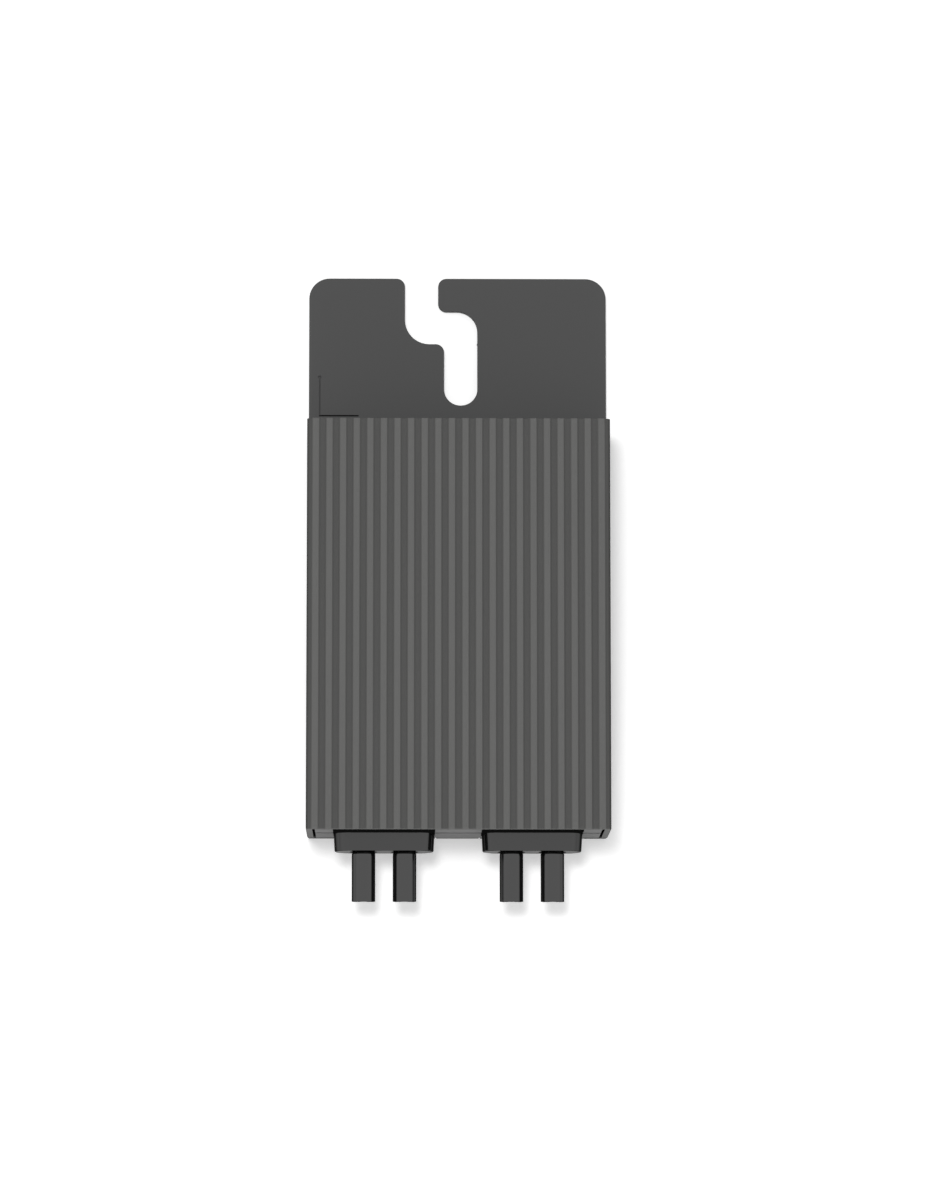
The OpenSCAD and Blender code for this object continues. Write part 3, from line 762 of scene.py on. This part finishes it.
def hollow_out(cover, low, high, groove):
    """The back of the cover: feet, bosses, posts and pedestal inside, and the cuts at its lead end."""
    inner = high.x - COVER_WALL
    ceiling = groove - COVER_FRONT
    top_wall = high.y - COVER_END_WALL
    cut(cover, block("hollow", (-inner, low.y - PAST, low.z - PAST), (inner, top_wall, ceiling)))
    cap_end = low.y + CAP_THICK + FOOT_ROOM
    for side in (-1, 1):
        xs = sorted((side * (inner - FOOT_WIDTH), side * (inner + ROOT)))
        grow(cover, block("foot", (xs[0], cap_end, low.z),
                          (xs[1], top_wall + ROOT, low.z + FOOT_HEIGHT)))
    grow(cover, block("foot", (-inner, top_wall - FOOT_WIDTH, low.z),
                      (inner, top_wall + ROOT, low.z + FOOT_HEIGHT)))
    for x, y in screw_places("cover_screws", HEAD_HOLE - HEAD_ROOM):
        grow(cover, upright_rod("boss", x, y, BOSS_RADIUS, low.z, ceiling + ROOT))
        if y + BOSS_RADIUS > top_wall:
            xs = sorted((x, math.copysign(inner + ROOT, x)))
            grow(cover, block("corner", (xs[0], y, low.z), (xs[1], top_wall + ROOT, ceiling + ROOT)))
        cut(cover, upright_rod("boss_hole", x, y, SHANK_HOLE, low.z - PAST, low.z + BOSS_DEEP))
    board_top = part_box("circuit_board")[1].z
    for x, y in screw_places("board_screws", POST_HEAD):
        grow(cover, upright_rod("post", x, y, POST_RADIUS, board_top, ceiling + ROOT))
        cut(cover, upright_rod("post_hole", x, y, POST_HOLE, board_top - PAST, board_top + POST_DEEP))
    pad_low, pad_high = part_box("thermal_pad")
    grow(cover, block("pedestal", (pad_low.x, pad_low.y, pad_high.z),
                      (pad_high.x, pad_high.y, ceiling + ROOT)))
    tongue = low.y + TONGUE_SET
    for side in (-1, 1):
        xs = sorted((side * (inner - PAST), side * (inner + TONGUE_IN + TONGUE_ROOM)))
        cut(cover, block("tongue_groove", (xs[0], tongue - TONGUE_ROOM, low.z - PAST),
                         (xs[1], tongue + TONGUE_THICK + TONGUE_ROOM, ceiling)))
        xs = sorted((side * (inner - CAP_SLIT), side * inner))
        cut(cover, block("slit", (xs[0], low.y - PAST, ceiling - PAST),
                         (xs[1], low.y + SLIT_DEEP, groove - SLIT_SKIN)))
    for pair in PAIRS:
        seal_low, seal_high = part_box(pair + "_gland_seal")
        cut(cover, block("recess", (seal_low.x, low.y - PAST, ceiling - PAST), seal_high))


def end_cap(node, name):
    """One half of the end cap, with tongues at its sides and openings for the glands."""
    low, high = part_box(node)
    cover_low, cover_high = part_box("ribbed_cover")
    half = cover_high.x - COVER_WALL - CAP_SLIT
    bottom = max(low.z, cover_low.z)
    cap = block(name, (-half, low.y, bottom), (half, low.y + CAP_THICK, high.z))
    tongue = low.y + TONGUE_SET
    grow(cap, block("tongues", (low.x, tongue, bottom), (high.x, tongue + TONGUE_THICK, high.z)))
    for pair in PAIRS:
        seal_low, seal_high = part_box(pair + "_gland_seal")
        cut(cap, block("pocket", (seal_low.x, low.y - PAST, seal_low.z), seal_high))
        gland_low, gland_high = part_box(pair + "_gland")
        cut(cap, block("opening",
                       (gland_low.x + NECK_IN, low.y - PAST, gland_low.z + FLANGE_LIP),
                       (gland_high.x - NECK_IN, high.y + PAST, gland_high.z - FLANGE_LIP)))
    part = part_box("end_cap_front")[0].z
    cut(cap, block("part_line", (low.x - PAST, low.y - PAST, part - PART_LINE / 2),
                   (high.x + PAST, low.y + PART_LINE_DEEP, part + PART_LINE / 2)))
    if low.z < bottom:
        grow(cap, block("tab", (-TAB_WIDTH / 2, low.y, low.z),
                        (TAB_WIDTH / 2, low.y + TAB_THICK, bottom + CAP_SLIT)))
    pick_edges(cap, sharp)
    round_picked(CAP_EDGE, FINE_STEPS)
    even_shading(cap)
    coat(cap, cap_plastic, seal_rubber)
    # painted shade: the tongues take the black rubber, standing in for the shade in the slits beside the
    # cap
    second_coat(cap, lambda face: abs(face.center.x) > half + NEAR)
    stand_for(cap, node)


def gland(pair):
    """A moulded block with drafted, round sides, whose neck and flange sit in the end cap and are
    coloured black as painted shade in the pocket.
    """
    low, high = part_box(pair + "_gland")
    seat = low.y + GLAND_OUT
    middle = (low + high) / 2
    bottom, top = middle.z - GLAND_HEIGHT / 2, middle.z + GLAND_HEIGHT / 2
    body = block(pair + "_gland_moulding", (low.x, low.y, bottom), (high.x, seat, top))

    def at_end(vertex):
        return abs(vertex.co.y - low.y) < NEAR

    pick_faces(body, lambda face: face.normal.y < -FACING)
    width = high.x - low.x
    narrowed = (width - 2 * GLAND_DRAFT) / width
    lowered = (GLAND_HEIGHT - 2 * GLAND_TOP_DRAFT) / GLAND_HEIGHT
    bpy.ops.transform.resize(value=(narrowed, 1, lowered),
                             center_override=(middle.x, low.y, middle.z))
    bpy.ops.object.mode_set(mode="OBJECT")
    pick_edges(body, lambda edge: abs(edge.verts[0].co.y - edge.verts[1].co.y) > GLAND_OUT / 2)
    round_picked(GLAND_EDGE, GLAND_EDGE_STEPS)
    pick_edges(body, lambda edge: all(at_end(v) for v in edge.verts) and sharp(edge))
    round_picked(GLAND_END_EDGE, GLAND_END_STEPS)
    grow(body, block("neck", (low.x + NECK_IN, seat - NEAR, bottom),
                     (high.x - NECK_IN, seat + CAP_THICK + CAP_SLIT, top)))
    grow(body, block("flange", (low.x, seat + CAP_THICK, low.z), high))
    for lead in (pair + "_positive_lead", pair + "_negative_lead"):
        lead_low, lead_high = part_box(lead)
        x, radius = (lead_low.x + lead_high.x) / 2, (lead_high.x - lead_low.x) / 2 + LEAD_ROOM
        cut(body, lying_rod("bore", x, middle.z, radius, low.y - PAST, high.y + PAST))

        def mouth(edge):
            return all(at_end(v) and abs(math.hypot(v.co.x - x, v.co.z - middle.z) - radius) < NEAR
                       for v in edge.verts)

        pick_edges(body, mouth)
        round_picked(BORE_EDGE, BORE_EDGE_STEPS)
    even_shading(body)
    coat(body, gland_plastic, seal_rubber)
    # painted shade: the neck and flange take the black rubber, standing in for the shade in the pocket
    # round the neck
    second_coat(body, lambda face: face.center.y > seat - 2 * NEAR)
    return body


def gland_seal(pair):
    """The gasket round the neck of a gland."""
    low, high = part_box(pair + "_gland_seal")
    gland_low, gland_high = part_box(pair + "_gland")
    seal = block(pair + "_gland_gasket", low, high)
    cut(seal, block("neck",
                    (gland_low.x + NECK_IN, low.y - PAST, gland_low.z + FLANGE_LIP),
                    (gland_high.x - NECK_IN, high.y + PAST, gland_high.z - FLANGE_LIP)))
    pick_edges(seal, sharp)
    round_picked(SEAL_EDGE, FINE_STEPS)
    even_shading(seal)
    coat(seal, seal_rubber)
    return seal


def lead_jacket(lead):
    """A jacket of sheath and insulation, nipped where it enters the gland and cut a little off square."""
    low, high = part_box(lead + "_lead")
    core_low, core_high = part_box(lead + "_core")
    middle = (low + high) / 2
    radius = (high.x - low.x) / 2
    bore = (core_high.x - core_low.x) / 2 + CORE_ROOM
    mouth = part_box(lead.split("_")[0] + "_gland")[0].y
    jacket = lying_rod(lead + "_jacket", middle.x, middle.z, radius, low.y, high.y, JACKET_SIDES)
    pick_faces(jacket, lambda face: True)
    bpy.ops.mesh.bisect(plane_co=(middle.x, low.y, middle.z + radius), use_fill=True, clear_inner=True,
                        plane_no=(0, math.cos(CUT_SLANT), math.sin(CUT_SLANT)))
    for y in (mouth - NIP_LENGTH, mouth):
        bpy.ops.mesh.select_all(action="SELECT")
        bpy.ops.mesh.bisect(plane_co=(0, y, 0), plane_no=(0, 1, 0))
    pick_faces(jacket, lambda face: face.calc_center_median().y > mouth)
    nipped = (radius - NIP_DEEP) / radius
    bpy.ops.transform.resize(value=(nipped, 1, nipped), center_override=middle)
    pick_edges(jacket, lambda edge: sharp(edge) and edge.verts[0].co.y < middle.y)
    round_picked(CUT_EDGE, FINE_STEPS)
    # only the two round ends have more than four corners
    pick_faces(jacket, lambda face: len(face.verts) > 4)
    bpy.ops.mesh.inset(thickness=SHEATH_WALL, depth=0, use_individual=True)
    bpy.ops.mesh.inset(thickness=radius - CUT_EDGE - SHEATH_WALL - bore, depth=0, use_individual=True)
    bpy.ops.mesh.bridge_edge_loops()
    bpy.ops.object.mode_set(mode="OBJECT")
    even_shading(jacket, JACKET_SMOOTH_ANGLE)
    coat(jacket, lead_sheath, lead_insulation)
    sheath_inside = radius - SHEATH_WALL - CUT_EDGE
    second_coat(jacket, lambda face: math.hypot(
        face.center.x - middle.x, face.center.z - middle.z) < sheath_inside)
    return jacket


def strand_places():
    """Middles of the strands in a round lay: one in the middle and ever fuller rings about it."""
    places = [(0.0, 0.0)]
    for ring in range(1, STRAND_RINGS + 1):
        out = 2 * ring * STRAND_RADIUS
        count = STRANDS_PER_RING * ring
        for i in range(count):
            turn = 2 * math.pi * i / count
            places.append((out * math.cos(turn), out * math.sin(turn)))
    return places


def lead_core(lead):
    """The strands of a cut lead, each with a burr and a little out of line, joined to one piece."""
    low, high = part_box(lead + "_core")
    middle = (low + high) / 2
    strand = lying_rod("strand", middle.x, middle.z, STRAND_RADIUS, low.y + STRAND_BACK,
                       high.y - STRAND_STEPS * STRAND_STAGGER, STRAND_SIDES)
    pick_edges(strand, lambda edge: sharp(edge) and edge.verts[0].co.y < middle.y)
    round_picked(STRAND_BURR, FINE_STEPS)
    strands = [strand]
    for i, (across, up) in enumerate(strand_places()[1:]):
        back = STRAND_STAGGER * ((STRAND_SKIP * i) % STRAND_STEPS)
        strands.append(copy_to(strand, "strand", (across, back, up)))
    clear_pick()
    for strand in strands:
        strand.select_set(True)
    bpy.context.view_layer.objects.active = strands[0]
    bpy.ops.object.join()
    core = keep_place(lead + "_strands")
    even_shading(core)
    coat(core, strand_tin, strand_copper)
    second_coat(core, lambda face: abs(face.normal.y) > FACING)
    return core


mounting_bracket()
ribbed_cover()
end_cap("end_cap_front", "end_cap_front_half")
end_cap("end_cap_rear", "end_cap_rear_half")
model_row(gland, PAIRS, "_gland", "_gland_moulding")
model_row(gland_seal, PAIRS, "_gland_seal", "_gland_gasket")
model_row(lead_jacket, LEADS, "_lead", "_jacket")
model_row(lead_core, LEADS, "_core", "_strands")

for row in frame["record"]["subparts"]:
    node = frame["nodes"][row["node"]]
    if not node.hide_render:
        coat(node, FINISHES[row["material_slot"]])


# Studio

# the floor's own tone to the eye and to bounced light, and the lift that brings it up to white
FLOOR_TONE = 0.92
FLOOR_BOUNCE = 0.08
FLOOR_LIFT = 0.285
WORLD_FILL = 0.5
# the floor lies a hair above the back face, and is open under the body, where the back shows from below
FLOOR_RISE = 0.03 * MM
FLOOR_SIZE = 8.0
FLOOR_OPEN_IN = 0.3 * MM
# lamps: place, side of the square box and watts
OVERHEAD_LAMP = ((-0.11, 0.11, 1.2), 0.24, 6.9)
LEAD_END_LAMP = ((0.0, -1.0, 0.22), 0.3, 4.4)


def studio_floor():
    low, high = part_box("ribbed_cover")
    middle = (0, 0, cad_low.z + FLOOR_RISE)
    clear_pick()
    bpy.ops.mesh.primitive_plane_add(size=FLOOR_SIZE, location=middle)
    floor = keep_place("floor")
    bpy.ops.object.mode_set(mode="EDIT")
    bpy.ops.mesh.select_mode(type="FACE")
    bpy.ops.mesh.select_all(action="SELECT")
    bpy.ops.mesh.inset(thickness=FLOOR_SIZE / 4, depth=0)
    opening = (high - low - Vector((2, 2, 2)) * FLOOR_OPEN_IN) / (FLOOR_SIZE / 2)
    bpy.ops.transform.resize(value=(opening.x, opening.y, 1), center_override=middle)
    bpy.ops.mesh.delete(type="FACE")
    bpy.ops.object.mode_set(mode="OBJECT")
    material, nodes, links = new_material("floor_white")
    nodes.remove(nodes["Principled BSDF"])
    matte = put(nodes, "ShaderNodeBsdfDiffuse")
    glow = put(nodes, "ShaderNodeEmission", Color=WHITE)
    both = put(nodes, "ShaderNodeAddShader")
    links.new(seen_as_background(nodes, links, FLOOR_TONE, FLOOR_BOUNCE), matte.inputs["Color"])
    links.new(seen_as_background(nodes, links, FLOOR_LIFT), glow.inputs["Strength"])
    links.new(matte.outputs[0], both.inputs[0])
    links.new(glow.outputs[0], both.inputs[1])
    links.new(both.outputs[0], nodes["Material Output"].inputs["Surface"])
    floor.data.materials.append(material)


def seen_as_background(nodes, links, level, unseen=0.0):
    """level for rays from the camera, in reflections and through glass, and unseen for the rest."""
    path = put(nodes, "ShaderNodeLightPath")
    first = put(nodes, "ShaderNodeMath", operation="MAXIMUM")
    second = put(nodes, "ShaderNodeMath", operation="MAXIMUM")
    pick = put(nodes, "ShaderNodeMapRange")
    pick.inputs["To Min"].default_value = unseen
    pick.inputs["To Max"].default_value = level
    links.new(path.outputs["Is Camera Ray"], first.inputs[0])
    links.new(path.outputs["Is Glossy Ray"], first.inputs[1])
    links.new(first.outputs[0], second.inputs[0])
    links.new(path.outputs["Is Transmission Ray"], second.inputs[1])
    links.new(second.outputs[0], pick.inputs["Value"])
    return pick.outputs["Result"]


def studio_world():
    world = bpy.data.worlds.new("studio")
    bpy.context.scene.world = world
    world.use_nodes = True
    nodes, links = world.node_tree.nodes, world.node_tree.links
    links.new(seen_as_background(nodes, links, 1.0, WORLD_FILL), nodes["Background"].inputs["Strength"])
    nodes["Background"].inputs["Color"].default_value = WHITE


def soft_box(name, place, size, watts):
    clear_pick()
    place = Vector(place)
    bpy.ops.object.light_add(type="AREA", location=place)
    lamp = bpy.context.object
    lamp.name = name
    lamp.data.shape = "SQUARE"
    lamp.data.size = size
    lamp.data.energy = watts
    lamp.rotation_euler = (-place).to_track_quat("-Z", "Y").to_euler()
    lamp.visible_camera = False
    lamp.visible_glossy = False


def studio_camera():
    bpy.ops.object.camera_add(location=CAMERA_PLACE, rotation=(CAMERA_TILT, -CAMERA_TURN, 0))
    camera = bpy.context.object
    camera.data.lens = CAMERA_LENS
    camera.data.sensor_width = CAMERA_SENSOR
    camera.data.clip_start = CAMERA_NEAR
    camera.data.clip_end = CAMERA_FAR
    bpy.context.scene.camera = camera


studio_floor()
studio_world()
soft_box("overhead", *OVERHEAD_LAMP)
soft_box("lead_end", *LEAD_END_LAMP)
studio_camera()
bpy.context.scene.view_settings.view_transform = "Standard"
